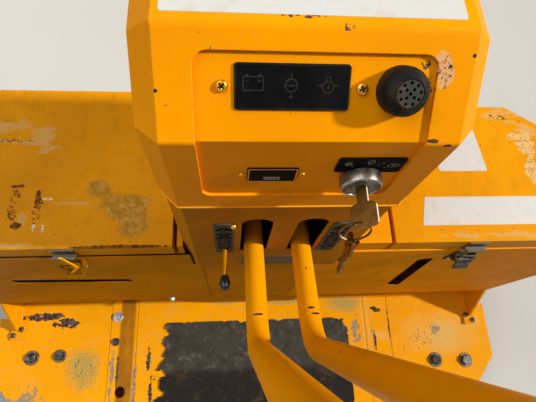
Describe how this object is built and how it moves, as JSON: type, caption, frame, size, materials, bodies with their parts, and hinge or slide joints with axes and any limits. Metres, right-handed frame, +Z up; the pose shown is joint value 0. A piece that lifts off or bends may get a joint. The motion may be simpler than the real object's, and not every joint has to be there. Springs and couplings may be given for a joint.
{
  "type": "site dumper operator's control station",
  "caption": "Standing operator's station of a site dumper: foot deck, steering console with two bent levers, instruments and lidded cover boxes.",
  "frame": {"origin": "on the floor, under the middle of the console's front face, at the centre of the four chassis bolt holes", "axes": "+X to the operator's right, +Y forward, away from the operator, +Z up"},
  "size_m": [1.38, 0.665, 1.2534],
  "materials": {
    "yellow_paint": "worn yellow-orange gloss paint",
    "deck_paint": "scuffed yellow-orange paint, worn to primer and steel",
    "zinc_steel": "zinc-plated, dulled",
    "dark_steel": "oiled dark steel",
    "black_plastic": "matt black, dusty",
    "black_gloss": "smoked black lens",
    "grey_plate": "grey-black plate",
    "mat_rubber": "worn black grip mat, dusty",
    "grip_rubber": "black ribbed rubber"
  },
  "bodies": {
    "station": {"bracket_left": "yellow_paint", "bracket_right": "yellow_paint", "buzzer": "black_plastic", "centre_panel": "yellow_paint", "console_column": "yellow_paint", "console_hood": "yellow_paint", "cross_beams": "deck_paint", "cross_panel_left": "yellow_paint", "cross_panel_right": "yellow_paint", "deck_plate_centre": "deck_paint", "deck_plate_left": "deck_paint", "deck_plate_right": "deck_paint", "grip_mat": "mat_rubber", "guide_plate_left": "grey_plate", "guide_plate_right": "grey_plate", "hand_lever": "yellow_paint", "hand_lever_knob": "black_plastic", "hour_meter": "black_gloss", "ignition_key": "zinc_steel", "ignition_switch": "zinc_steel", "instrument_panel": "yellow_paint", "latch_base_left": "zinc_steel", "latch_base_right": "zinc_steel", "latch_toggle_left": "zinc_steel", "latch_toggle_right": "zinc_steel", "legend_plate": "grey_plate", "lid_hinges_left": "yellow_paint", "lid_hinges_right": "yellow_paint", "pivot_shaft": "dark_steel", "rail_left": "deck_paint", "rail_right": "deck_paint", "shaft_bearing_left": "dark_steel", "shaft_bearing_right": "dark_steel", "side_box_left": "yellow_paint", "side_box_right": "yellow_paint", "spare_key_ring": "zinc_steel", "warning_light_unit": "black_gloss"},
    "steering_lever_left": {"steering_lever_left": "yellow_paint", "lever_grip_left": "grip_rubber"},
    "lid_left": {"lid_left": "yellow_paint", "lid_straps_left": "yellow_paint"},
    "steering_lever_right": {"steering_lever_right": "yellow_paint", "lever_grip_right": "grip_rubber"},
    "lid_right": {"lid_right": "yellow_paint", "lid_straps_right": "yellow_paint"}
  },
  "joints": [
    {"name": "steer_left", "type": "hinge", "parent": "station", "child": "steering_lever_left", "pos_m": [0, 0.096, 0.63983], "axis": [-1, 0, 0], "range_deg": [0, 15]},
    {"name": "steer_right", "type": "hinge", "parent": "station", "child": "steering_lever_right", "pos_m": [0, 0.096, 0.63983], "axis": [-1, 0, 0], "range_deg": [0, 15]},
    {"name": "lid_hinge_left", "type": "hinge", "parent": "station", "child": "lid_left", "pos_m": [0, 0.278, 0.616], "axis": [-1, 0, 0], "range_deg": [0, 95]},
    {"name": "lid_hinge_right", "type": "hinge", "parent": "station", "child": "lid_right", "pos_m": [0, 0.257, 0.616], "axis": [-1, 0, 0], "range_deg": [0, 95]}
  ]
}
